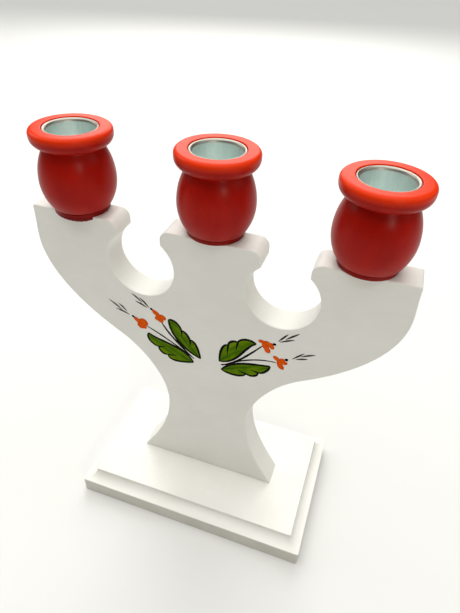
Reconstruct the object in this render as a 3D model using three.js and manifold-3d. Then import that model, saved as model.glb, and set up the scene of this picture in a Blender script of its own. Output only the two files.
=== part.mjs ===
// A wooden candle holder cut in the shape of a tree: a moulded base, a sawn board with three arms,
// a turned cup on each arm and a pressed metal insert in each cup. Wood screws hold it together.
// Millimetres. The origin is the centre of the base's underside, +X runs along the board,
// +Y to the back and +Z up. The base and the board are symmetric about X = 0.

import * as THREE from "three";
import { mergeVertices } from "three/addons/utils/BufferGeometryUtils.js";
import Module from "manifold-3d";

const wasm = await Module();
wasm.setup();

// Base
const baseLength = 150;
const baseDepth = 90;
const baseHeight = 18;
const baseEdgeHeight = 11.8;
const coveWidth = 7;
const coveRise = 4.6;

// Board
const boardThickness = 16;
const platformHeight = 196;
const armReach = 98;
const armBulgeX = 98.6;
const armBulgeZ = 178;
const shoulderX = 55.1;
const shoulderZ = 121.7;
const shoulderSlope = THREE.MathUtils.degToRad(31);
const waistHalfWidth = 25.7;
const waistHeight = 74.3;
const footHalfWidth = 46;
const bayRadius = 18.9;
const bayCentreX = 38;
const bayCentreZ = 173;
const bayMouthHalfWidth = 12;
const knobRadius = 5;

// Cups and candle inserts, measured up from the platform that each cup stands on.
// The cups are set on their arms by hand, so each has a place of its own, [x, y].
const cupPlaces = { left: [-73, 0.3], centre: [-0.5, 3], right: [73, 2.2] };
const cupHeight = 41.5;
const cupFootRadius = 14.1;
const cupFootHeight = 2.2;
const bellyRadius = 18.9;
const bellyHeight = 16;
const bellyLowerReach = 21.3;
const bellyUpperReach = 25;
const neckHeight = 32;
const rimRadius = 19.7;
const rimUndersideHeight = 33.5;
const undersideReach = 4;
const undersideRise = 4.5;
const rimCornerRadius = 3;
const candleRadius = 11;
const candleClearance = 0.4;
const candleDepth = 22;
const insertWall = 0.6;
const insertLipRadius = 13;
const lipRecess = 1.2;
const seatGap = 0.2;

// Screws
const runningGap = 0.3;
const screwRadius = 2;
const screwHeadRadius = 4;
const screwHeadHeight = 2.4;
const screwTipLength = 4;
const cupScrewLength = 35;
const baseScrewLength = 45;
const baseScrewOffset = 22;
const baseScrewRecess = 1;
const holeRise = 5;
const recessLength = 4.8;
const recessWidth = 0.9;
const recessDepth = 1.6;

const turnedSides = 36;
const screwSides = 20;

// ---------- joining and cutting ----------

function solidOf(geometry) {
  const bare = geometry.clone();
  bare.deleteAttribute("normal");
  bare.deleteAttribute("uv");
  const merged = mergeVertices(bare, 1e-4);
  const corners = merged.index.array;
  const kept = [];
  for (let i = 0; i < corners.length; i += 3) {
    const [a, b, c] = [corners[i], corners[i + 1], corners[i + 2]];
    if (a !== b && b !== c && c !== a) kept.push(a, b, c);
  }
  return new wasm.Manifold(new wasm.Mesh({
    numProp: 3,
    vertProperties: merged.attributes.position.array,
    triVerts: Uint32Array.from(kept),
  }));
}

function geometryOf(solid) {
  const mesh = solid.getMesh();
  const geometry = new THREE.BufferGeometry();
  geometry.setAttribute("position", new THREE.BufferAttribute(mesh.vertProperties, 3));
  geometry.setIndex(new THREE.BufferAttribute(mesh.triVerts, 1));
  geometry.computeVertexNormals();
  return geometry;
}

// A solid of revolution about +Z from [radius, height] points, listed from the bottom up the
// outside. The first and last points are on the axis, or are the same point.
function turned(profile, sides) {
  const points = profile.map(([radius, height]) => new THREE.Vector2(radius, height));
  return new THREE.LatheGeometry(points, sides).rotateX(Math.PI / 2);
}

// A prism along +Y, centred on Y = 0, from a shape drawn with X across and Z up.
function prismAlongY(shape, length) {
  const settings = { depth: length, bevelEnabled: false, curveSegments: 16 };
  const prism = new THREE.ExtrudeGeometry(shape, settings);
  return prism.translate(0, 0, -length / 2).rotateX(Math.PI / 2);
}

// ---------- screws ----------

// A countersunk shape with the flat of the head at height 0 and the point hanging down.
function countersunk(length, clearance) {
  const shank = screwRadius + clearance;
  return [
    [0, -length - clearance],
    [shank, screwTipLength - length],
    [shank, -screwHeadHeight - clearance],
    [screwHeadRadius + clearance, -clearance],
  ];
}

function woodScrew(length) {
  let screw = solidOf(turned([...countersunk(length, 0), [0, 0]], screwSides));
  for (const turn of [0, Math.PI / 2]) {
    const slot = new THREE.BoxGeometry(recessLength, recessWidth, 2 * recessDepth);
    screw = screw.subtract(solidOf(slot.rotateZ(turn)));
  }
  return geometryOf(screw);
}

// The hole that clears such a screw, open for a given rise above the head.
function screwHole(length, rise) {
  const mouth = [[screwHeadRadius + runningGap, rise], [0, rise]];
  return turned([...countersunk(length, runningGap), ...mouth], screwSides);
}

// ---------- base ----------

// One side's section from the centre line out: underside, upright edge, cove, small step, flat top.
function baseSection(halfWidth) {
  const coveBottom = baseEdgeHeight;
  const coveTop = coveBottom + coveRise;
  const shape = new THREE.Shape();
  shape.moveTo(-halfWidth, 0);
  shape.lineTo(halfWidth, 0);
  shape.lineTo(halfWidth, coveBottom);
  shape.absellipse(halfWidth, coveTop, coveWidth, coveRise, -Math.PI / 2, -Math.PI, true, 0);
  shape.lineTo(halfWidth - coveWidth, baseHeight);
  shape.lineTo(coveWidth - halfWidth, baseHeight);
  shape.absellipse(-halfWidth, coveTop, coveWidth, coveRise, 0, -Math.PI / 2, true, 0);
  shape.closePath();
  return shape;
}

function baseScrewHole(side) {
  const hole = screwHole(baseScrewLength, holeRise).rotateX(Math.PI);
  return solidOf(hole.translate(side * baseScrewOffset, 0, baseScrewRecess));
}

function basePlinth() {
  const alongY = solidOf(prismAlongY(baseSection(baseLength / 2), 2 * baseDepth));
  const across = prismAlongY(baseSection(baseDepth / 2), 2 * baseLength).rotateZ(Math.PI / 2);
  let base = alongY.intersect(solidOf(across));
  for (const side of [-1, 1]) {
    base = base.subtract(baseScrewHole(side));
  }
  return geometryOf(base);
}

// ---------- board ----------

// The right-hand bay, from the middle arm's flat top to the outer arm's flat top: a rounded knob on
// each side of a straight mouth, and a round saw cut below it.
function bayPoints() {
  const left = bayCentreX - bayMouthHalfWidth;
  const right = bayCentreX + bayMouthHalfWidth;
  const mouthAngle = Math.acos(bayMouthHalfWidth / bayRadius);
  const knobZ = platformHeight - knobRadius;
  const path = new THREE.Path();
  path.moveTo(left - knobRadius, platformHeight);
  path.absarc(left - knobRadius, knobZ, knobRadius, Math.PI / 2, 0, true);
  path.absarc(bayCentreX, bayCentreZ, bayRadius, Math.PI - mouthAngle, mouthAngle, false);
  path.absarc(right + knobRadius, knobZ, knobRadius, Math.PI, Math.PI / 2, true);
  return path.getPoints(12);
}

// The right-hand edge from the outer arm's tip: down past its bulge, in along the shoulder to the
// waist, and out to the foot. The lengths are the curves' pull at each of those places.
function edgePoints() {
  const shoulder = new THREE.Vector2(shoulderX, shoulderZ);
  const inwards = new THREE.Vector2(-Math.cos(shoulderSlope), -Math.sin(shoulderSlope));
  const above = shoulder.clone().addScaledVector(inwards, -24.7);
  const below = shoulder.clone().addScaledVector(inwards, 18);
  const path = new THREE.Path();
  path.moveTo(armReach, platformHeight);
  path.bezierCurveTo(armReach, platformHeight - 9, armBulgeX, armBulgeZ + 4.5, armBulgeX, armBulgeZ);
  path.bezierCurveTo(armBulgeX, armBulgeZ - 23.4, above.x, above.y, shoulderX, shoulderZ);
  path.bezierCurveTo(below.x, below.y, waistHalfWidth, waistHeight + 18.2, waistHalfWidth, waistHeight);
  path.bezierCurveTo(waistHalfWidth, waistHeight - 24.7, 38.4, 31.7, footHalfWidth, baseHeight);
  return path.getPoints(12);
}

function treeBoard() {
  const rightHalf = [...bayPoints(), ...edgePoints()];
  const leftHalf = rightHalf.map((point) => new THREE.Vector2(-point.x, point.y)).reverse();
  const outline = new THREE.Shape([...leftHalf, ...rightHalf].reverse());
  let board = solidOf(prismAlongY(outline, boardThickness));
  for (const [x, y] of Object.values(cupPlaces)) {
    const pilot = screwHole(cupScrewLength, holeRise);
    pilot.translate(x, y, platformHeight + cupScrewHeadHeight());
    board = board.subtract(solidOf(pilot));
  }
  for (const side of [-1, 1]) {
    board = board.subtract(baseScrewHole(side));
  }
  return geometryOf(board);
}

// ---------- cups ----------

function lipSeatHeight() {
  return cupHeight - lipRecess;
}

function insertFloorHeight() {
  return lipSeatHeight() + seatGap + insertWall - candleDepth;
}

function socketFloorHeight() {
  return insertFloorHeight() - insertWall - runningGap;
}

function cupScrewHeadHeight() {
  return socketFloorHeight() - runningGap;
}

function socketRadius() {
  return candleRadius + candleClearance + insertWall + runningGap;
}

function bellyPoints(count) {
  const points = [];
  for (let i = 0; i <= count; i += 1) {
    const height = cupFootHeight + ((neckHeight - cupFootHeight) * i) / count;
    const reach = height < bellyHeight ? bellyLowerReach : bellyUpperReach;
    const radius = bellyRadius * Math.sqrt(1 - ((height - bellyHeight) / reach) ** 2);
    points.push([radius, height]);
  }
  return points;
}

// Points of a quarter ellipse about [radius, height], from one angle to another in degrees.
function edgeRound(radius, height, reach, rise, from, to) {
  const steps = 3;
  const points = [];
  for (let i = 0; i <= steps; i += 1) {
    const angle = THREE.MathUtils.degToRad(from + ((to - from) * i) / steps);
    points.push([radius + reach * Math.cos(angle), height + rise * Math.sin(angle)]);
  }
  return points;
}

function candleCup() {
  const topRoundHeight = cupHeight - rimCornerRadius;
  const topRoundRadius = rimRadius - rimCornerRadius;
  const solid = solidOf(turned([
    [0, 0],
    [cupFootRadius, 0],
    [cupFootRadius, cupFootHeight],
    ...bellyPoints(10),
    ...edgeRound(rimRadius - undersideReach, rimUndersideHeight + undersideRise,
      undersideReach, undersideRise, -90, 0),
    ...edgeRound(topRoundRadius, topRoundHeight, rimCornerRadius, rimCornerRadius, 0, 90),
    [insertLipRadius + runningGap, cupHeight],
    [insertLipRadius + runningGap, lipSeatHeight()],
    [socketRadius(), lipSeatHeight()],
    [socketRadius(), socketFloorHeight()],
    [0, socketFloorHeight()],
  ], turnedSides));
  const hole = screwHole(cupScrewLength, holeRise).translate(0, 0, cupScrewHeadHeight());
  return geometryOf(solid.subtract(solidOf(hole)));
}

// ---------- candle inserts ----------

function candleInsert() {
  const inner = candleRadius + candleClearance;
  const outer = inner + insertWall;
  const floor = insertFloorHeight();
  const lipUnderside = lipSeatHeight() + seatGap;
  const lipTop = lipUnderside + insertWall;
  return turned([
    [0, floor - insertWall],
    [outer, floor - insertWall],
    [outer, lipUnderside],
    [insertLipRadius, lipUnderside],
    [insertLipRadius, lipTop - insertWall / 3],
    [insertLipRadius - insertWall / 3, lipTop],
    [inner, lipTop],
    [inner, floor],
    [0, floor],
  ], turnedSides);
}

// ---------- assembly ----------

const whitePaint = { color: 0xece9df, roughness: 0.45, metalness: 0 };
const redPaint = { color: 0xa81c12, roughness: 0.35, metalness: 0 };
const pressedMetal = { color: 0xb9bdb6, roughness: 0.3, metalness: 1 };
const zincPlate = { color: 0xc4c3b8, roughness: 0.4, metalness: 1 };

function piece(name, geometry, finish) {
  const mesh = new THREE.Mesh(geometry, new THREE.MeshStandardMaterial(finish));
  mesh.name = name;
  return mesh;
}

function candlePlace(side, [x, y]) {
  const place = new THREE.Group();
  const screw = piece(`${side}_cup_screw`, woodScrew(cupScrewLength), zincPlate);
  screw.position.z = cupScrewHeadHeight();
  place.add(piece(`${side}_candle_cup`, candleCup(), redPaint));
  place.add(piece(`${side}_candle_insert`, candleInsert(), pressedMetal));
  place.add(screw);
  place.position.set(x, y, platformHeight);
  return place;
}

const candleHolder = new THREE.Group();
candleHolder.add(piece("base_plinth", basePlinth(), whitePaint));
candleHolder.add(piece("tree_board", treeBoard(), whitePaint));
for (const [side, position] of Object.entries(cupPlaces)) {
  candleHolder.add(candlePlace(side, position));
}
for (const [side, x] of [["left", -baseScrewOffset], ["right", baseScrewOffset]]) {
  const screw = piece(`${side}_base_screw`, woodScrew(baseScrewLength), zincPlate);
  screw.rotation.x = Math.PI;
  screw.position.set(x, 0, baseScrewRecess);
  candleHolder.add(screw);
}

export default candleHolder;
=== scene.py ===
# Candle holder in the shape of a tree: white enamelled wood, red turned cups, pressed metal inserts.
# Metres, in the frame's own axes: +X along the board, +Y to the back, +Z up.

import math
import random

import bmesh
import bpy
from mathutils import Matrix, Vector


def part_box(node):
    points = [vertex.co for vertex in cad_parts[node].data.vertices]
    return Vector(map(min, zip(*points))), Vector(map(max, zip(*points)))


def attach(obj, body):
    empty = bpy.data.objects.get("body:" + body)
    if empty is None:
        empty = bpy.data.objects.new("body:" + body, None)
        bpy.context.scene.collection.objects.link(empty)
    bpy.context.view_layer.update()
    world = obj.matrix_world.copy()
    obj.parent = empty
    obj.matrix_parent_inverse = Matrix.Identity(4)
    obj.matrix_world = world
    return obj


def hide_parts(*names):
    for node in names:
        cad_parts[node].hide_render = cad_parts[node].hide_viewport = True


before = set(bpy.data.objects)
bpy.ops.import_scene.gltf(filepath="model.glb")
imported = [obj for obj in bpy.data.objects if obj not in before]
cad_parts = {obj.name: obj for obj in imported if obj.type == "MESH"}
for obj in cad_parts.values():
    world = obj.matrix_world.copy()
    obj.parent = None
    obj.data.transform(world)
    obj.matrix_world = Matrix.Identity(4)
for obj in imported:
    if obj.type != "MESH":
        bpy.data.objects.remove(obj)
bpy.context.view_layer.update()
mm = 0.001


# ---------------------------------------------------------------------------------------------
# Camera: held above the right-hand end of the painted front, looking down and slightly tilted.
# ---------------------------------------------------------------------------------------------
camera_azimuth = math.radians(17.37)
camera_elevation = math.radians(38.48)
camera_roll = math.radians(2.78)
camera_distance = 290 * mm
focal_length = 29.01
looked_at = Vector((3.2, 20.2, 137.2)) * mm

towards_camera = Vector((
    math.sin(camera_azimuth) * math.cos(camera_elevation),
    -math.cos(camera_azimuth) * math.cos(camera_elevation),
    math.sin(camera_elevation),
))
level = (-towards_camera).cross(Vector((0, 0, 1))).normalized()
upright = level.cross(-towards_camera)
sideways = math.cos(camera_roll) * level + math.sin(camera_roll) * upright
upwards = math.cos(camera_roll) * upright - math.sin(camera_roll) * level

camera = bpy.data.objects.new("camera", bpy.data.cameras.new("camera"))
bpy.context.scene.collection.objects.link(camera)
camera.data.lens = focal_length
camera.data.clip_start = 10 * mm
camera.data.clip_end = 20
facing = Matrix((sideways, upwards, towards_camera)).transposed().to_quaternion()
camera.matrix_world = Matrix.LocRotScale(looked_at + camera_distance * towards_camera, facing, None)
bpy.context.scene.camera = camera


# ---------------------------------------------------------------------------------------------
# Base: a block of wood with a cove routed round its top edge, brushed with white enamel whose upright edge
# is greyed as painted shade. Two screws go up through it into the tree board.
# ---------------------------------------------------------------------------------------------
base_edge_height = 11.8 * mm
cove_width = 7 * mm
cove_rise = 4.6 * mm
arris = 0.4 * mm
corner_radius = 0.7 * mm
base_screw_offset = 22 * mm
base_screw_length = 45 * mm
base_screw_recess = 1 * mm
screw_clearance = 0.3 * mm
screw_hole_radius = 2.3 * mm
screw_mouth_radius = 4.3 * mm
countersink_depth = 2.7 * mm
base_low, base_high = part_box("base_plinth")


class Value:
    """A number, colour or vector on its way through a finish's nodes."""

    def __init__(self, finish, socket):
        self.finish = finish
        self.socket = socket

    def maths(self, operation, *others):
        return self.finish.node("ShaderNodeMath", {"operation": operation}, [self, *others])

    def __add__(self, other):
        return self.maths("ADD", other)

    def __mul__(self, other):
        return self.maths("MULTIPLY", other)

    def __sub__(self, other):
        return self.maths("SUBTRACT", other)

    def __rsub__(self, other):
        return self.finish.node("ShaderNodeMath", {"operation": "SUBTRACT"}, [other, self])

    def __truediv__(self, other):
        return self.maths("DIVIDE", other)

    def __rtruediv__(self, other):
        return self.finish.node("ShaderNodeMath", {"operation": "DIVIDE"}, [other, self])

    __radd__ = __add__
    __rmul__ = __mul__


class Finish:
    """A paint or a metal: its surface shader and the nodes that vary it over a piece."""

    def __init__(self, name, **fixed):
        self.material = bpy.data.materials.new(name)
        self.material.use_nodes = True
        self.nodes = self.material.node_tree.nodes
        self.links = self.material.node_tree.links
        self.surface = self.nodes["Principled BSDF"]
        for socket, value in fixed.items():
            self.surface.inputs[socket.replace("_", " ")].default_value = value
        self.place = self.node("ShaderNodeTexCoord", {}, {}, "Object")

    def node(self, kind, settings, inputs, output=0):
        """Adds a node: first its settings, then its inputs' values or links. Gives one output."""
        made = self.nodes.new(kind)
        for name, value in settings.items():
            if name == "stops":
                while len(made.color_ramp.elements) < len(value):
                    made.color_ramp.elements.new(1)
                for element, (position, level) in zip(made.color_ramp.elements, value):
                    element.position = position
                    element.color = (level, level, level, 1)
            else:
                setattr(made, name, value)
        for key, value in inputs.items() if isinstance(inputs, dict) else enumerate(inputs):
            if isinstance(value, Value):
                self.links.new(value.socket, made.inputs[key])
            else:
                made.inputs[key].default_value = value
        return Value(self, made.outputs[output])

    def ramp(self, value, *stops):
        """A value carried from 0-1 to the levels of stops, each a (position, level)."""
        return self.node("ShaderNodeValToRGB", {"stops": stops}, [value])

    def stretched(self, x, y, z):
        """The place on the piece, multiplied by so many per metre each way."""
        return self.node("ShaderNodeVectorMath", {"operation": "MULTIPLY"}, [self.place, (x, y, z)])

    def noise(self, place, detail=2, roughness=0.5):
        """Cloudy variation of about 0.3 to 0.7, at the size that the place was stretched to."""
        inputs = {"Vector": place, "Scale": 1, "Detail": detail, "Roughness": roughness}
        return self.node("ShaderNodeTexNoise", {}, inputs)

    def part(self, vector, letter):
        """One part of a vector: its X, Y or Z."""
        return self.node("ShaderNodeSeparateXYZ", {}, [vector], letter)

    def mix(self, share, first, second):
        """A colour between two others. Each is three numbers or the output of a node."""
        colours = [c if isinstance(c, Value) else (*c, 1) for c in (first, second)]
        inputs = {0: share, 6: colours[0], 7: colours[1]}
        return self.node("ShaderNodeMix", {"data_type": "RGBA"}, inputs, 2)

    def bump(self, *heights_and_depths):
        """A normal from heights of 0 to 1, each with the depth in metres that it stands for."""
        total = sum(height * (depth / mm) for height, depth in heights_and_depths)
        return self.node("ShaderNodeBump", {}, {"Height": total, "Distance": mm, "Strength": 1})

    def lay(self, **varying):
        """Links what varies to the surface, and gives the material."""
        for socket, value in varying.items():
            self.links.new(value.socket, self.surface.inputs[socket.replace("_", " ")])
        return self.material


def white_enamel(name, brushing):
    """Satin white enamel on sanded wood: brushing is how fine its marks are along X, Y and Z."""
    white = Finish(name, IOR=1.45, Specular_IOR_Level=0.35)
    cloudy = white.noise(white.stretched(45, 45, 45), detail=3)
    marks = white.noise(white.stretched(*brushing), detail=3, roughness=0.6)
    peel = white.noise(white.stretched(1500, 1500, 1500), detail=1)
    cells = {"Vector": white.stretched(60, 60, 60), "Scale": 1}
    distance = white.node("ShaderNodeTexVoronoi", {}, cells, "Distance")
    lot = white.node("ShaderNodeTexVoronoi", {}, cells, "Color")
    nibs = (1 - white.ramp(distance, (0.012, 0), (0.03, 1))) * white.ramp(lot, (0.62, 0), (0.68, 1))
    facing = white.part(white.node("ShaderNodeNewGeometry", {}, {}, "True Normal"), "Y").maths("ABSOLUTE")
    sawn = 1 - white.ramp(facing, (0.05, 0), (0.3, 1))
    saw_marks = white.noise(white.stretched(700, 60, 700), detail=2) * sawn
    # Painted shade: the white is greyed on the base's upright edge, below its top, standing in for the
    # shade that falls there.
    base_edge_shade_share = 1 - white.ramp(white.part(white.place, "Z") / base_edge_height, (0.88, 0), (1, 1))
    painted_edge_shade = base_edge_shade_share * white.ramp(cloudy, (0.35, 0.45), (0.65, 0.65))
    colour = white.mix(white.ramp(cloudy, (0.3, 0), (0.7, 1)), (0.79, 0.78, 0.735), (0.83, 0.825, 0.785))
    colour = white.mix(white.ramp(marks, (0.3, 0.1), (0.7, 0)), colour, (0.68, 0.66, 0.60))
    # The grey of the base edge's painted shade.
    colour = white.mix(painted_edge_shade, colour, (0.42, 0.39, 0.33))
    colour = white.mix(nibs * 0.7, colour, (0.34, 0.30, 0.24))
    roughness = 0.38 + 0.1 * marks + 0.08 * cloudy
    normal = white.bump((marks, 0.015 * mm), (peel, 0.004 * mm), (saw_marks, 0.03 * mm), (nibs, 0.03 * mm))
    return white.lay(Base_Color=colour, Roughness=roughness, Normal=normal)


def skin(name, rings, hollow=False):
    """A closed mesh through rings of points. Its ends are capped, or joined if it is hollow."""
    shape = bmesh.new()
    rows = [[shape.verts.new(point) for point in ring] for ring in rings]
    pairs = list(zip(rows, rows[1:])) + ([(rows[-1], rows[0])] if hollow else [])
    for low, high in pairs:
        count = max(len(low), len(high))
        for i in range(count):
            j = (i + 1) % count
            corners = [low[i % len(low)], low[j % len(low)], high[j % len(high)], high[i % len(high)]]
            shape.faces.new(list(dict.fromkeys(corners)))
    if not hollow:
        for end in (rows[0], rows[-1]):
            if len(end) > 1:
                shape.faces.new(end)
    bmesh.ops.recalc_face_normals(shape, faces=shape.faces)
    mesh = bpy.data.meshes.new(name)
    shape.to_mesh(mesh)
    shape.free()
    piece = bpy.data.objects.new(name, mesh)
    bpy.context.scene.collection.objects.link(piece)
    return piece


def turned(name, profile, sides, hollow=False):
    """A turned piece about its own Z from (radius, height) points."""
    angles = [2 * math.pi * i / sides for i in range(sides)]
    rings = []
    for radius, height in profile:
        if radius == 0:
            rings.append([(0, 0, height)])
        else:
            rings.append([(radius * math.cos(a), radius * math.sin(a), height) for a in angles])
    return skin(name, rings, hollow)


def rounding(centre, reach, rise, start, end, steps):
    """Points of an ellipse's arc about a centre, from one angle to another in degrees."""
    points = []
    for i in range(steps + 1):
        angle = math.radians(start + (end - start) * i / steps)
        points.append((centre[0] + reach * math.cos(angle), centre[1] + rise * math.sin(angle)))
    return points


def cut(piece, cutters):
    """Takes the cutters' solids out of a piece."""
    for cutter in cutters:
        taking = piece.modifiers.new("cut", "BOOLEAN")
        taking.object = cutter
        taking.solver = "EXACT"
    cut_mesh = bpy.data.meshes.new_from_object(piece.evaluated_get(bpy.context.evaluated_depsgraph_get()))
    piece.modifiers.clear()
    piece.data = cut_mesh
    for cutter in cutters:
        bpy.data.objects.remove(cutter)


def fit(piece, material, body, nodes=(), crease=35):
    """Gives a piece its finish and its place in the frame: smooth, with creases above an angle."""
    piece.data.materials.clear()
    piece.data.materials.append(material)
    piece.data.shade_smooth()
    piece.data.set_sharp_from_angle(angle=math.radians(crease))
    evening = piece.modifiers.new("even_shading", "WEIGHTED_NORMAL")
    evening.keep_sharp = True
    evening.weight = 80
    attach(piece, body)
    if nodes:
        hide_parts(*nodes)


def screw_hole(screw_length):
    """The space that clears a countersunk screw with its head's flat at height 0, open above."""
    depth = screw_length + screw_clearance
    point = 3 * mm
    opening = 5 * mm
    return turned("screw_hole", [
        (0, -depth), (screw_hole_radius, point - depth), (screw_hole_radius, -countersink_depth),
        (screw_mouth_radius, -screw_clearance), (screw_mouth_radius, opening), (0, opening),
    ], 32)


def base_screw_holes():
    """The two screws' space, which goes up through the base into the board's foot."""
    holes = []
    for side in (-1, 1):
        hole = screw_hole(base_screw_length)
        hole.data.transform(Matrix.Rotation(math.pi, 4, "X"))
        hole.data.transform(Matrix.Translation((side * base_screw_offset, 0, base_screw_recess)))
        holes.append(hole)
    return holes


def rounded_rectangle(half_length, half_depth, height):
    """The base's outline at a height, anticlockwise from its right back corner."""
    points = []
    for quarter, (x, y) in enumerate(((1, 1), (-1, 1), (-1, -1), (1, -1))):
        centre = (x * (half_length - corner_radius), y * (half_depth - corner_radius))
        for px, py in rounding(centre, corner_radius, corner_radius, 90 * quarter, 90 * quarter + 90, 5):
            points.append((px, py, height))
    return points


cove_centre = (0, base_edge_height + cove_rise)
base_section = rounding((arris, arris), arris, arris, 270, 180, 4)
base_section += rounding((arris, base_edge_height - arris / 2), arris, arris / 2, 180, 100, 4)
base_section += rounding(cove_centre, cove_width, cove_rise, 276, 360, 14)
base_section += rounding((cove_width + arris, base_high.z - arris), arris, arris, 180, 90, 4)
base = skin("base", [
    rounded_rectangle(base_high.x - inset, base_high.y - inset, height) for inset, height in base_section
])
cut(base, base_screw_holes())
base_enamel = white_enamel("base_enamel", (60, 900, 900))
fit(base, base_enamel, "holder", ["base_plinth"])


# ---------------------------------------------------------------------------------------------
# Tree board: sawn from one flat board, with a round bay on each side of the middle arm, edges
# eased with sandpaper, then enamelled. Its foot stands on the base and its arms carry the cups.
# ---------------------------------------------------------------------------------------------
board_low, board_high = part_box("tree_board")
arm_reach = 98 * mm
arm_bulge = Vector((board_high.x, 178 * mm))
shoulder = Vector((55.1, 121.7)) * mm
shoulder_slope = math.radians(31)
waist = Vector((25.7, 74.3)) * mm
foot = Vector((46 * mm, board_low.z))
bay_centre = Vector((38, 173)) * mm
bay_radius = 18.9 * mm
bay_mouth = 12 * mm
knob_radius = 5 * mm
tip_radius = 1.1 * mm
edge_radius = 0.7 * mm
platform = board_high.z
arm_pulls = (9 * mm, 4.5 * mm)
flank_pulls = (23.4 * mm, 24.7 * mm)
stem_pulls = (18 * mm, 18.2 * mm)
waist_pull = 24.7 * mm
foot_flare = Vector((38.4, 31.7)) * mm
cup_places = {"left": (-73, 0.3), "centre": (-0.5, 3), "right": (73, 2.2)}
cup_screw_length = 35 * mm
cup_screw_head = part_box("left_cup_screw")[1].z - platform


def curve(start, first_pull, second_pull, end, steps):
    """Points of a cubic curve, the start left out."""
    points = []
    for i in range(1, steps + 1):
        t = i / steps
        s = 1 - t
        pulled = 3 * s * s * t * first_pull + 3 * s * t * t * second_pull
        points.append(s**3 * start + pulled + t**3 * end)
    return points


def right_half_outline():
    """Points round the right half as (x, height), from the middle arm's top down to the foot."""
    left_wall = bay_centre.x - bay_mouth
    right_wall = bay_centre.x + bay_mouth
    mouth_angle = math.degrees(math.acos(bay_mouth / bay_radius))
    knob_height = platform - knob_radius
    outline = rounding((left_wall - knob_radius, knob_height), knob_radius, knob_radius, 90, 0, 10)
    outline += rounding(bay_centre, bay_radius, bay_radius, 180 - mouth_angle, 360 + mouth_angle, 96)
    outline += rounding((right_wall + knob_radius, knob_height), knob_radius, knob_radius, 180, 90, 10)
    outline += rounding((arm_reach - tip_radius, platform - tip_radius), tip_radius, tip_radius, 90, 0, 4)
    outline = [Vector(point) for point in outline]
    up_arm = Vector((math.cos(shoulder_slope), math.sin(shoulder_slope)))
    up = Vector((0, 1))
    arm_top = Vector((arm_reach, platform - arm_pulls[0]))
    outline += curve(outline[-1], arm_top, arm_bulge + arm_pulls[1] * up, arm_bulge, 8)
    for start, first_pull, second_pull, end in (
        (arm_bulge, arm_bulge - flank_pulls[0] * up, shoulder + flank_pulls[1] * up_arm, shoulder),
        (shoulder, shoulder - stem_pulls[0] * up_arm, waist + stem_pulls[1] * up, waist),
        (waist, waist - waist_pull * up, foot_flare, foot),
    ):
        outline += curve(start, first_pull, second_pull, end, 26)
    return outline


def inset_outline(outline, inset):
    """The outline moved into the wood by the same distance all along."""
    moved = []
    for i, point in enumerate(outline):
        before = (point - outline[i - 1]).normalized()
        after = (outline[(i + 1) % len(outline)] - point).normalized()
        inwards = Vector((before.y + after.y, -before.x - after.x)).normalized()
        slant = max(0.4, inwards.dot(Vector((after.y, -after.x))))
        moved.append(point + inwards * inset / slant)
    return moved


right_half = right_half_outline()
outline = [Vector((-point.x, point.y)) for point in reversed(right_half)] + right_half
board_half = (board_high.y - board_low.y) / 2
edge_section = rounding((edge_radius, edge_radius - board_half), edge_radius, edge_radius, 270, 180, 4)
edge_section += [(inset, -depth) for inset, depth in reversed(edge_section)]
board = skin("board", [
    [(point.x, depth, point.y) for point in inset_outline(outline, inset)] for inset, depth in edge_section
])
pilot_holes = base_screw_holes()
for x, y in cup_places.values():
    hole = screw_hole(cup_screw_length)
    hole.data.transform(Matrix.Translation((x * mm, y * mm, platform + cup_screw_head)))
    pilot_holes.append(hole)
cut(board, pilot_holes)
board_enamel = white_enamel("board_enamel", (90, 900, 500))
fit(board, board_enamel, "holder", ["tree_board"])


# ---------------------------------------------------------------------------------------------
# Cups: turned wood in red enamel, with a foot, a round belly, a narrow neck and a flat rim. Each
# is bored from the top for its metal insert, with a recess for the insert's lip, and is glued and
# screwed to its arm through its floor.
# ---------------------------------------------------------------------------------------------
cup_height = 41.5 * mm
edge_round = 0.4 * mm
foot_radius = 14.1 * mm
foot_height = 2.2 * mm
foot_groove = (13.45 * mm, 2.4 * mm)
foot_shade_height = 3.2 * mm
belly_start = 2.8 * mm
belly_radius = 18.9 * mm
belly_height = 16 * mm
belly_reach_down = 21.3 * mm
belly_reach_up = 25 * mm
neck_height = 32 * mm
neck_groove = (15 * mm, 32.8 * mm)
rim_radius = 19.7 * mm
rim_round = 2.3 * mm
rim_widest = 38 * mm
rim_undercut = (4 * mm, 4.5 * mm)
socket_radius = 12.3 * mm
socket_floor = cup_screw_head + 0.3 * mm
recess_radius = 13.3 * mm
recess_depth = 1.2 * mm
turned_sides = 128
turns = {"left": 20, "centre": 145, "right": 260}


def belly(height):
    """The belly's radius at a height."""
    reach = belly_reach_down if height < belly_height else belly_reach_up
    return belly_radius * math.sqrt(1 - ((height - belly_height) / reach) ** 2)


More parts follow.
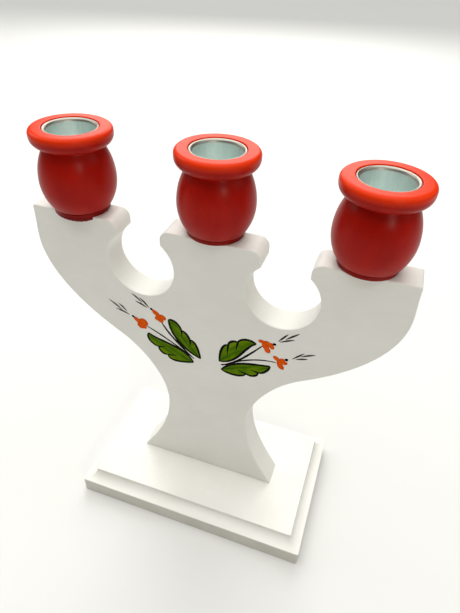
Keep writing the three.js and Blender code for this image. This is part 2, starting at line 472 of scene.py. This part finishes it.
def cup_profile():
    """(radius, height) up the cup's outside, over its rim and down its socket to the screw hole."""
    belly_steps = 30
    seat = cup_height - recess_depth
    foot_edge = foot_radius - edge_round
    profile = [(screw_hole_radius, 0)]
    profile += rounding((foot_edge, edge_round), edge_round, edge_round, 270, 360, 4)
    profile += rounding((foot_edge, foot_height - edge_round), edge_round, edge_round, 0, 80, 4)
    profile += [foot_groove]
    for i in range(belly_steps + 1):
        height = belly_start + (neck_height - belly_start) * i / belly_steps
        profile.append((belly(height), height))
    profile += rounding(neck_groove, 0.8 * mm, 0.7 * mm, 190, 90, 5)
    profile += rounding((rim_radius - rim_undercut[0], rim_widest), *rim_undercut, 270, 360, 10)
    profile += rounding((rim_radius - rim_round, cup_height - rim_round), rim_round, rim_round, 0, 90, 10)
    mouth_centre = (recess_radius + edge_round, cup_height - edge_round)
    profile += rounding(mouth_centre, edge_round, edge_round, 90, 180, 4)
    profile += [(recess_radius, seat), (socket_radius + edge_round, seat)]
    profile += [(socket_radius, seat - edge_round), (socket_radius, socket_floor), (4.6 * mm, socket_floor)]
    profile += [(screw_mouth_radius, cup_screw_head - screw_clearance)]
    profile += [(screw_hole_radius, cup_screw_head - countersink_depth)]
    return profile


def red_enamel(name, pale, deep, painted_rim_highlight=None):
    """Satin red enamel on turned wood. On a cup it has painted shade round the foot and a painted highlight
    on the rim's top.
    """
    red = Finish(name, IOR=1.45, Specular_IOR_Level=0.12)
    clouds = red.noise(red.stretched(90, 90, 60), detail=3)
    rings = red.noise(red.stretched(20, 20, 1000), detail=3, roughness=0.65)
    grain = red.noise(red.stretched(500, 500, 60), detail=3, roughness=0.6)
    peel = red.noise(red.stretched(1300, 1300, 1300), detail=1)
    colour = red.mix(red.ramp(clouds, (0.3, 0), (0.7, 1)), deep, pale)
    colour = red.mix(red.ramp(grain, (0.3, 0.16), (0.48, 0)), colour, [share * 0.6 for share in deep])
    if painted_rim_highlight:
        height = red.part(red.place, "Z")
        # Painted shade: the enamel is darkened round the cup's foot, standing in for the shade under the
        # belly.
        painted_foot_shade = 1 - red.ramp(height / foot_shade_height, (0.75, 0), (1, 1))
        colour = red.mix(painted_foot_shade * 0.5, colour, [share * 0.4 for share in deep])
        # Painted highlight: the rim's top is given a brighter orange-red, standing in for the light it
        # catches from above.
        rim_highlight_share = red.ramp(height / cup_height, (0.9, 0), (0.985, 1))
        colour = red.mix(rim_highlight_share, colour, painted_rim_highlight)
    roughness = 0.26 + 0.08 * clouds + 0.06 * rings
    normal = red.bump((rings, 0.012 * mm), (grain, 0.008 * mm), (peel, 0.005 * mm))
    return red.lay(Base_Color=colour, Roughness=roughness, Normal=normal)


# The third colour is the painted highlight on the rim tops.
cup_enamel = red_enamel("red_enamel", (0.38, 0.008, 0.003), (0.30, 0.005, 0.002), (0.8, 0.038, 0.003))
for side, (x, y) in cup_places.items():
    cup = turned(f"{side}_cup", cup_profile(), turned_sides, hollow=True)
    cup.location = (x * mm, y * mm, platform)
    cup.rotation_euler.z = math.radians(turns[side])
    fit(cup, cup_enamel, "holder", [f"{side}_candle_cup"])

# The bead's sizes are in millimetres, from the left cup's middle.
bead_middle = 0.4
bead_reach = 10.4
bead_radius = foot_radius / mm - 0.2
bead_steps = 32


def squeezed_bead():
    """Rings of the enamelled glue that was squeezed out under the left cup's foot, where the foot
    overhangs the board's front."""
    cup_x, cup_y = cup_places["left"]
    back = board_low.y / mm - 0.02
    rings = []
    for i in range(bead_steps + 1):
        share = 2 * i / bead_steps - 1
        across = bead_middle + bead_reach * share
        outer = cup_y - math.sqrt(bead_radius ** 2 - across ** 2)
        uneven = 0.12 * math.sin(3.1 * across + 1)
        drop = (1.5 + share + uneven) * (1.02 - share ** 2) ** 0.3
        section = [
            (back, 0.05), (outer + 0.2, 0.3), (outer - 0.35, 0),
            (outer - 0.2, -0.6 * drop), (outer + 0.6, -drop), (back, -1.3 * drop),
        ]
        rings.append([((cup_x + across) * mm, min(y, back) * mm, platform + z * mm) for y, z in section])
    return rings


# Painted shade: the bead's enamel is a darker maroon than the cups' red, standing in for the shade under
# the overhanging foot.
glue_enamel_with_painted_shade = red_enamel("glue_enamel_with_painted_shade", (0.2, 0.006, 0.006), (0.13, 0.004, 0.005))
fit(skin("left_foot_glue", squeezed_bead()), glue_enamel_with_painted_shade, "holder", crease=60)


# ---------------------------------------------------------------------------------------------
# Candle inserts: cups pressed from thin tinned steel, with a rolled lip let into the rim. They
# stand loose in their sockets and lift straight out for cleaning.
# ---------------------------------------------------------------------------------------------
insert_wall = 0.6 * mm
insert_radius = 12 * mm
insert_lip_radius = 13 * mm
insert_low, insert_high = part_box("left_candle_insert")
insert_bottom = insert_low.z - platform
insert_lip_top = insert_high.z - platform
insert_bend = 1.6 * mm
insert_inner_bend = 1.4 * mm
lip_roll_height = 1.9 * mm
floor_dish = 0.25 * mm


def insert_profile():
    """(radius, height) from under the floor up the outside, over the lip and down the inside."""
    inner = insert_radius - insert_wall
    floor = insert_bottom + insert_wall
    lip_edge = insert_wall / 2
    roll_centre = (insert_lip_radius - lip_edge, insert_lip_top - lip_roll_height)
    roll = roll_centre[0] - inner
    outer_bend_centre = (insert_radius - insert_bend, insert_bottom + insert_bend)
    inner_bend_centre = (inner - insert_bend, floor + insert_inner_bend)
    dished = insert_bottom + floor_dish
    profile = [(0, dished), (4 * mm, dished), (4.5 * mm, insert_bottom)]
    profile += rounding(outer_bend_centre, insert_bend, insert_bend, 270, 360, 8)
    profile += rounding(roll_centre, roll - insert_wall, lip_roll_height - insert_wall, 180, 95, 8)
    profile += rounding((roll_centre[0], insert_lip_top - lip_edge), lip_edge, lip_edge, 270, 450, 8)
    profile += rounding(roll_centre, roll, lip_roll_height, 85, 180, 12)
    profile += [(inner - 0.1 * mm, insert_lip_top - 7 * mm), (inner - 0.2 * mm, floor + 5 * mm)]
    profile += rounding(inner_bend_centre, insert_inner_bend, insert_inner_bend, 0, -90, 8)
    profile += [(4.7 * mm, floor), (4.2 * mm, floor + floor_dish), (0, floor + floor_dish)]
    return profile


def tinned_steel():
    """Dull tin with marks drawn up the wall by the press, stained, and browner on the lip."""
    tin = Finish("tinned_steel", Metallic=1.0)
    angle = tin.part(tin.place, "Y").maths("ARCTAN2", tin.part(tin.place, "X"))
    height = tin.part(tin.place, "Z")
    round_the_wall = tin.node("ShaderNodeCombineXYZ", {}, [angle * 14, height * 45])
    drawn = tin.noise(round_the_wall, detail=4, roughness=0.65)
    stains = tin.noise(tin.stretched(260, 260, 160), detail=4, roughness=0.6)
    scuffs = tin.noise(tin.stretched(1400, 1400, 300), detail=2)
    colour = tin.mix(tin.ramp(stains, (0.35, 0), (0.65, 1)), (0.82, 0.90, 0.88), (0.90, 0.98, 0.95))
    colour = tin.mix(tin.ramp(drawn, (0.25, 0.5), (0.45, 0)), colour, (0.64, 0.70, 0.65))
    lip_band = 2.5 * mm
    lip = tin.ramp((height - (insert_lip_top - lip_band)) / lip_band, (0.3, 0), (0.6, 1))
    colour = tin.mix(lip * 0.9, colour, (0.36, 0.33, 0.28))
    roughness = 0.30 + 0.2 * drawn + 0.08 * stains
    normal = tin.bump((drawn, 0.03 * mm), (scuffs, 0.004 * mm), (stains, 0.05 * mm))
    return tin.lay(Base_Color=colour, Roughness=roughness, Normal=normal)


tin = tinned_steel()
for side, (x, y) in cup_places.items():
    insert = turned(f"{side}_insert", insert_profile(), turned_sides)
    insert.location = (x * mm, y * mm, platform)
    insert.rotation_euler.z = math.radians(turns[side])
    fit(insert, tin, f"{side}_insert", [f"{side}_candle_insert"])


# ---------------------------------------------------------------------------------------------
# Wood screws: zinc-plated, countersunk, cross-slotted. One goes down through each cup's floor
# into its arm, and two go up through the base into the board's foot.
# ---------------------------------------------------------------------------------------------
thread_pitch = 1.8 * mm
thread_root = 1.45 * mm
thread_crest = 2 * mm
rings_per_turn = 8
screw_sides = 20
screw_neck = 2.4 * mm
screw_taper = 4 * mm
plain_share = 0.3
screw_head_rings = [(3.9 * mm, -0.35 * mm), (4 * mm, -0.2 * mm), (3.85 * mm, 0)]
slot_rings = [(2.4 * mm, 0.45 * mm, 1 * mm), (2.4 * mm, 0.45 * mm, 0), (0.9 * mm, 0.3 * mm, -1.7 * mm)]


def wood_screw(name, length):
    """A screw hanging down its own Z from its head's flat, threaded below a plain shank."""
    angles = [2 * math.pi * k / screw_sides for k in range(screw_sides)]
    rings = [[(0, 0, -length)]]
    steps = rings_per_turn * round((length - screw_neck) / thread_pitch)
    for i in range(1, steps + 1):
        height = -length + (length - screw_neck) * i / steps
        taper = min(1, (height + length) / screw_taper)
        ring = []
        for k, angle in enumerate(angles):
            phase = (height / thread_pitch + k / screw_sides) % 1
            ridge = max(0, 1 - abs(phase - 0.5) / 0.28)
            fullness = 1 if height > -length * plain_share else ridge
            radius = (thread_root + (thread_crest - thread_root) * fullness) * taper
            ring.append((radius * math.cos(angle), radius * math.sin(angle), height))
        rings.append(ring)
    for radius, height in screw_head_rings:
        rings.append([(radius * math.cos(angle), radius * math.sin(angle), height) for angle in angles])
    screw = skin(name, rings)
    slots = []
    for turn in (0, 90):
        slot = skin("slot", [
            [(x * half_length, y * half_width, height) for x, y in ((-1, -1), (1, -1), (1, 1), (-1, 1))]
            for half_length, half_width, height in slot_rings
        ])
        slot.data.transform(Matrix.Rotation(math.radians(turn), 4, "Z"))
        slots.append(slot)
    cut(screw, slots)
    return screw


def zinc_plate():
    """Yellowish zinc plating with fine scratches across the head."""
    zinc = Finish("zinc_plate", Metallic=1.0)
    haze = zinc.noise(zinc.stretched(500, 500, 500), detail=3)
    scratches = zinc.noise(zinc.stretched(300, 3000, 300), detail=2)
    colour = zinc.mix(haze, (0.62, 0.60, 0.50), (0.74, 0.76, 0.78))
    roughness = 0.24 + 0.2 * scratches
    return zinc.lay(Base_Color=colour, Roughness=roughness, Normal=zinc.bump((scratches, 0.006 * mm)))


zinc = zinc_plate()
for side, (x, y) in cup_places.items():
    screw = wood_screw(f"{side}_arm_screw", cup_screw_length)
    screw.location = (x * mm, y * mm, platform + cup_screw_head)
    fit(screw, zinc, "holder", [f"{side}_cup_screw"])
for side, x in (("left", -base_screw_offset), ("right", base_screw_offset)):
    screw = wood_screw(f"{side}_foot_screw", base_screw_length)
    screw.rotation_euler.x = math.pi
    screw.location = (x, 0, base_screw_recess)
    fit(screw, zinc, "holder", [f"{side}_base_screw"])


# ---------------------------------------------------------------------------------------------
# Painted sprays: brushed on the front of the board in thin craft paint, one on each side of the
# stem. Two lobed leaves, two stems with a small flower each, and loose grass strokes beyond them.
# ---------------------------------------------------------------------------------------------
hand = random.Random(7)
paint_sink = 0.04 * mm
leaf_thickness = 0.07 * mm
line_thickness = 0.14 * mm
dab_thickness = 0.2 * mm
petal_thickness = 0.18 * mm
lobe_width = 1.6 * mm
back_width = 1.65 * mm
vein_width = 1.35 * mm
grass_width = 1.1 * mm
leaf_half_width = 7 * mm
dab_sides = 28
brush_section = [(-1, -0.3), (-0.97, 0.4), (-0.6, 0.9), (0, 1), (0.6, 0.9), (0.97, 0.4), (1, -0.3)]
dab_section = [(1, -0.2), (1, 0.3), (0.93, 0.62), (0.75, 0.87), (0.45, 0.98)]


def on_front(x, z, heading=0.0):
    """The place of a piece of painting: its own X along the heading, its Z out of the board."""
    place = Matrix.Translation((x, board_low.y, z)) @ Matrix.Rotation(math.pi / 2, 4, "X")
    return place @ Matrix.Rotation(heading, 4, "Z")


def join(name, pieces):
    """One piece from several, each already in place."""
    shape = bmesh.new()
    for piece in pieces:
        piece.data.transform(piece.matrix_basis)
        shape.from_mesh(piece.data)
        bpy.data.objects.remove(piece)
    mesh = bpy.data.meshes.new(name)
    shape.to_mesh(mesh)
    shape.free()
    joined = bpy.data.objects.new(name, mesh)
    bpy.context.scene.collection.objects.link(joined)
    return joined


def brush_line(points, widths):
    """A raised line of paint along points on the board, as wide as the brush was pressed."""
    rings = []
    for i, point in enumerate(points):
        ahead = points[min(i + 1, len(points) - 1)] - points[max(i - 1, 0)]
        sideways = Vector((-ahead.y, ahead.x)).normalized()
        half = max(0.03 * mm, widths[i] / 2) * (1 + 0.1 * hand.uniform(-1, 1))
        thick = line_thickness * min(1, half / (0.3 * mm))
        ring = []
        for across, rise in brush_section:
            spot = point + sideways * across * half
            ring.append((spot.x, spot.y, thick * rise))
        rings.append(ring)
    return skin("line", rings)


def pressed(points, most, ends):
    """Widths of a stroke that is pressed hardest half-way: its ends have a share of the width."""
    last = len(points) - 1
    swells = [max(0, math.sin(math.pi * i / last)) ** 0.7 for i in range(last + 1)]
    return [most * (ends + (1 - ends) * swell) for swell in swells]


def lobe(start, end, swell, fullest):
    """A leaf's lobe, standing out to the left of the way from its start to its end."""
    way = end - start
    lean = fullest - 0.5
    bulge = Vector((-way.y, way.x)).normalized() * swell / 0.75
    first_pull = start + (0.15 + 1.2 * lean) * way + (1 - 2 * lean) * bulge
    second_pull = end - (0.22 - lean) * way + (1 + 2 * lean) * bulge
    return [start] + curve(start, first_pull, second_pull, end, 14)


def leaf_fill(name, edge):
    """The green inside a leaf's edge, sunk a little into the board's paint."""
    centre = sum(edge, Vector((0, 0))) / len(edge)
    rings = []
    for share, height in ((1, -paint_sink), (1, 0.6 * leaf_thickness), (0.985, leaf_thickness)):
        rings.append([(*(centre + (point - centre) * share), height) for point in edge])
    return skin(name, rings)


def dab(row, mirror, thickness):
    """A dab of thick paint with an uneven edge, from its row in the tables below."""
    x, z, long, wide, heading = row
    wobble = [hand.uniform(-0.07, 0.07) for i in range(4)]
    rings = []
    for share, rise in dab_section:
        ring = []
        for i in range(dab_sides):
            angle = 2 * math.pi * i / dab_sides
            uneven = 1 + wobble[0] * math.sin(2 * angle) + wobble[1] * math.cos(3 * angle)
            uneven += wobble[2] * math.sin(4 * angle + 1) / 2 + wobble[3] * math.cos(5 * angle) / 2
            reach = share * uneven * mm
            ring.append((long * reach * math.cos(angle), wide * reach * math.sin(angle), thickness * rise))
        rings.append(ring)
    rings.append([(0, 0, thickness)])
    piece = skin("dab", rings)
    piece.matrix_basis = on_front(mirror * x * mm, z * mm, mirror * math.radians(heading))
    return piece


def leaf_green():
    """Two greens brushed out along the leaf, lighter towards its edges."""
    green = Finish("leaf_green", IOR=1.45, Specular_IOR_Level=0.02)
    streaks = green.noise(green.stretched(70, 420, 0), detail=3, roughness=0.55)
    pools = green.noise(green.stretched(160, 160, 160), detail=2)
    across = green.part(green.place, "Y").maths("ABSOLUTE") * (1 / leaf_half_width)
    share = green.ramp(streaks * 0.75 + pools * 0.25 + across * 0.25, (0.42, 0), (0.75, 1))
    colour = green.mix(share, (0.028, 0.10, 0.001), (0.15, 0.25, 0.001))
    normal = green.bump((streaks, 0.03 * mm), (pools, 0.015 * mm))
    return green.lay(Base_Color=colour, Roughness=0.36 + 0.2 * streaks, Normal=normal)


def craft_paint(name, thin, thick, thickness):
    """Raised paint of one colour where it is thin, at a stroke's or a dab's edge, and another where
    it is thick."""
    paint = Finish(name, IOR=1.45, Specular_IOR_Level=0.03)
    depth = (board_low.y / mm - paint.part(paint.place, "Y") * (1 / mm)) * (mm / thickness)
    streaks = paint.noise(paint.stretched(500, 500, 500), detail=3)
    share = paint.ramp(depth * 0.8 + streaks * 0.4, (0.5, 0), (1.0, 1))
    colour = paint.mix(share, thin, thick)
    normal = paint.bump((streaks, 0.03 * mm))
    return paint.lay(Base_Color=colour, Roughness=0.36 + 0.25 * streaks, Normal=normal)


leaf_paint = leaf_green()
line_paint = craft_paint("line_black", (0.010, 0.007, 0.005), (0.003, 0.0025, 0.002), line_thickness)
grass_paint = craft_paint("grass_grey", (0.085, 0.065, 0.055), (0.045, 0.035, 0.03), line_thickness)
petal_paint = craft_paint("petal_orange", (0.5, 0.035, 0.001), (0.8, 0.11, 0.002), dab_thickness)

# All of the tables are in millimetres, with X counted outwards from the middle of the board. The
# notches between a leaf's lobes, the ends of the veins drawn in from them and the pulls of its
# plain back are (along, across) from its base. A lobe swells to the left where its swell is
# positive, and is fullest at a share of its length.
leaves = {
    "left_upper": dict(
        base=(4.1, 117.8), heading=50.6, length=29.9,
        swells=(1.9, 1.1, 2.05), fullest=(0.7, 0.6, 0.58), notches=[(13.3, 2.6), (20.7, 2.2)],
        veins=[(9.8, -0.2), (17.4, -0.4)], back=[(22, -6.2), (9, -5.7)]),
    "left_lower": dict(
        base=(8.6, 113.2), heading=26.7, length=30.8,
        swells=(-3.0, -1.95, -2.7), fullest=(0.7, 0.5, 0.56), notches=[(14.6, -6.2), (21.6, -5)],
        veins=[(10, -2.8), (18.8, -2)], back=[(20.5, -0.6), (9.5, 7.3)]),
    "right_upper": dict(
        base=(7.3, 120.0), heading=44.3, length=28.2,
        swells=(2.1, 1.6, 2.45), fullest=(0.66, 0.52, 0.5), notches=[(13.1, 6.5), (19.5, 5.4)],
        veins=[(7.8, 1.4), (14.8, 1.6)], back=[(20.5, 2), (9.5, -6.9)]),
    "right_lower": dict(
        base=(8.7, 113.8), heading=24.3, length=30.4,
        swells=(-2.55, -2.2, -1.6), fullest=(0.6, 0.55, 0.45), notches=[(14, -4.1), (21.7, -3.8)],
        veins=[(10, -0.9), (17.8, -1.3)], back=[(20, 2.2), (9, 6.2)]),
}
# A stem is its width, then its start, two pulls and end. A dab, in the petals or in the flowers'
# dark hearts, is its place, half its length, half its width and its heading in degrees. A grass
# stroke is its start and end.
stems = {
    "left": [(1.0, [(8.1, 116.4), (16, 121.5), (28, 128.5), (37, 132.1)]),
             (1.3, [(8.2, 116.3), (16.5, 123.5), (23.5, 130.5), (27.4, 137.6)])],
    "right": [(1.3, [(8.2, 117.6), (15.5, 119.5), (23.5, 130), (30.8, 139.3)]),
              (0.95, [(9, 117.2), (17, 123.5), (27, 130), (39.5, 130.3)])],
}
petals = {
    "left": [
        (30.7, 143.4, 2.75, 1.5, 42), (26.7, 141.4, 2.2, 1.62, 25), (29.9, 139.9, 1.65, 1.68, 40),
        (28.0, 139.0, 1.76, 1.56, 20), (28.6, 140.9, 1.54, 1.56, 0), (42.7, 134.7, 2.42, 1.56, 38),
        (38.9, 134.2, 2.86, 2.52, 20), (40.7, 131.2, 2.42, 1.92, 25), (38.5, 130.8, 1.32, 1.32, 0),
        (39.6, 132.6, 2.42, 2.16, 40),
    ],
    "right": [
        (30.5, 142.6, 1.98, 1.2, -8), (33.4, 142.3, 1.87, 1.56, 0), (35.5, 141.2, 2.42, 1.62, -58),
        (32.6, 140.3, 2.2, 2.04, -45), (33.7, 138.0, 2.64, 1.62, -58), (39.3, 133.3, 2.2, 1.32, -38),
        (42.5, 133.0, 1.54, 1.44, 0), (43.7, 131.6, 1.87, 1.32, -20), (41.5, 131.3, 1.98, 1.8, -40),
        (41.9, 128.7, 2.86, 1.56, -50),
    ],
}
hearts = {
    "left": [(33.3, 145.5, 0.9, 0.75, 30), (45.1, 136.6, 1.05, 0.75, 38)],
    "right": [(37.3, 142.9, 1.05, 0.8, -10), (44.7, 134.2, 0.95, 0.95, 0)],
}
grasses = {
    "left": [
        ((34.6, 145.8), (40.2, 151.6)), ((38.6, 148.4), (44.8, 153.2)), ((35.9, 145.6), (42.9, 148.5)),
        ((48.8, 139.1), (53.8, 143.9)), ((51.6, 139.2), (59.8, 145)), ((47.3, 137.3), (55.8, 139.6)),
    ],
    "right": [
        ((39.0, 145.4), (43.8, 152)), ((42.6, 147.9), (49.5, 154.1)), ((39.8, 145.2), (47.4, 149.2)),
        ((47.6, 135.8), (53.4, 141.8)), ((51.6, 138.9), (59.1, 142.7)), ((49.4, 136.2), (55.7, 138.5)),
    ],
}


def paint_leaf(name, leaf, mirror):
    """Fills a leaf with green and gives the lines drawn round it and into its notches."""
    def turned_over(points):
        return [Vector((along, mirror * across)) * mm for along, across in points]

    base, tip = turned_over([(0, 0), (leaf["length"], 0)])
    notches = turned_over(leaf["notches"])
    corners = [base, *notches, tip]
    lobes = [lobe(start, end, mirror * swell * mm, fullest)
             for start, end, swell, fullest in zip(corners, corners[1:], leaf["swells"], leaf["fullest"])]
    back = [tip] + curve(tip, *turned_over(leaf["back"]), base, 26)
    heading = math.radians(leaf["heading"])
    x, z = leaf["base"]
    place = on_front(mirror * x * mm, z * mm, heading if mirror > 0 else math.pi - heading)
    fill = leaf_fill(name, [point for edge in lobes + [back] for point in edge[1:]])
    fill.matrix_basis = place
    fit(fill, leaf_paint, "holder")
    strokes = [brush_line(edge, pressed(edge, lobe_width, 0.55)) for edge in lobes]
    strokes.append(brush_line(back, pressed(back, back_width, 0.6)))
    for notch, end in zip(notches, turned_over(leaf["veins"])):
        bend = notch + (end - notch) * 0.5 + Vector((-0.4 * mm, 0))
        vein = [notch] + curve(notch, bend, bend, end, 8)
        strokes.append(brush_line(vein, [vein_width * (1 - 0.7 * i / 8) for i in range(9)]))
    for stroke in strokes:
        stroke.matrix_basis = place
    return strokes


for side, mirror in (("left", -1), ("right", 1)):
    lines = []
    for name, leaf in leaves.items():
        if name.startswith(side):
            lines += paint_leaf(f"{name}_leaf", leaf, mirror)
    for width, bends in stems[side]:
        start, first_pull, second_pull, end = [Vector((mirror * x, z)) * mm for x, z in bends]
        path = [start] + curve(start, first_pull, second_pull, end, 22)
        stem = brush_line(path, pressed(path, width * mm, 0.5))
        stem.matrix_basis = on_front(0, 0)
        lines.append(stem)
    lines += [dab(row, mirror, dab_thickness) for row in hearts[side]]
    fit(join(f"{side}_spray_lines", lines), line_paint, "holder", crease=60)
    dabs = [dab(row, mirror, petal_thickness) for row in petals[side]]
    fit(join(f"{side}_spray_petals", dabs), petal_paint, "holder", crease=60)
    blades = []
    for (x, z), (far_x, far_z) in grasses[side]:
        start = Vector((mirror * x, z)) * mm
        end = Vector((mirror * far_x, far_z)) * mm
        middle = (start + end) / 2 + Vector((0.25, 0.35)) * mm
        path = [start] + curve(start, middle, middle, end, 14)
        blade = brush_line(path, pressed(path, grass_width, 0.15))
        blade.matrix_basis = on_front(0, 0)
        blades.append(blade)
    fit(join(f"{side}_spray_grasses", blades), grass_paint, "holder", crease=60)


# ---------------------------------------------------------------------------------------------
# Studio: a plain pale floor under a wide soft light, with a soft window behind the holder, a
# weak light from each side, and a small warm lamp in front on the right.
# ---------------------------------------------------------------------------------------------
floor_size = 8
floor_gap = 0.05 * mm
bpy.ops.mesh.primitive_plane_add(size=floor_size, location=(0, 0, base_low.z - floor_gap))
floor = bpy.context.object
floor.name = "floor"
floor_paint = Finish("floor_paint", Roughness=0.8)
soft = floor_paint.noise(floor_paint.stretched(3, 3, 3), detail=2)
floor_colour = floor_paint.mix(soft, (0.70, 0.70, 0.69), (0.72, 0.72, 0.71))
floor.data.materials.append(floor_paint.lay(Base_Color=floor_colour))


def light(name, kind, place, power, colour, **shape):
    """A light at a place, turned to the holder's middle."""
    lamp = bpy.data.objects.new(name, bpy.data.lights.new(name, kind))
    bpy.context.scene.collection.objects.link(lamp)
    lamp.data.energy = power
    lamp.data.color = colour
    for setting, value in shape.items():
        setattr(lamp.data, setting, value)
    lamp.location = place
    aim = Vector((0, 0, 120 * mm)) - Vector(place)
    lamp.rotation_euler = aim.to_track_quat("-Z", "Y").to_euler()


light("ceiling", "SUN", (-0.1, -0.06, 2), 2.6, (1, 1, 0.97), angle=math.radians(75))
light("window", "AREA", (-0.4, 1.25, 1.05), 17, (1, 0.99, 0.95), size=1.3)
light("left_wall", "AREA", (-1, 0.1, 0.8), 3, (1, 1, 0.97), size=0.6)
light("right_wall", "AREA", (1, 0.1, 0.8), 1.2, (1, 1, 0.97), size=0.6)
light("lamp", "AREA", (0.8, -0.9, 0.7), 2.6, (1, 0.95, 0.84), size=0.12)

world = bpy.data.worlds.new("room")
world.use_nodes = True
surroundings = world.node_tree.nodes["Background"]
surroundings.inputs["Color"].default_value = (1, 0.98, 0.92, 1)
surroundings.inputs["Strength"].default_value = 0.06
bpy.context.scene.world = world
bpy.context.scene.view_settings.view_transform = "Standard"
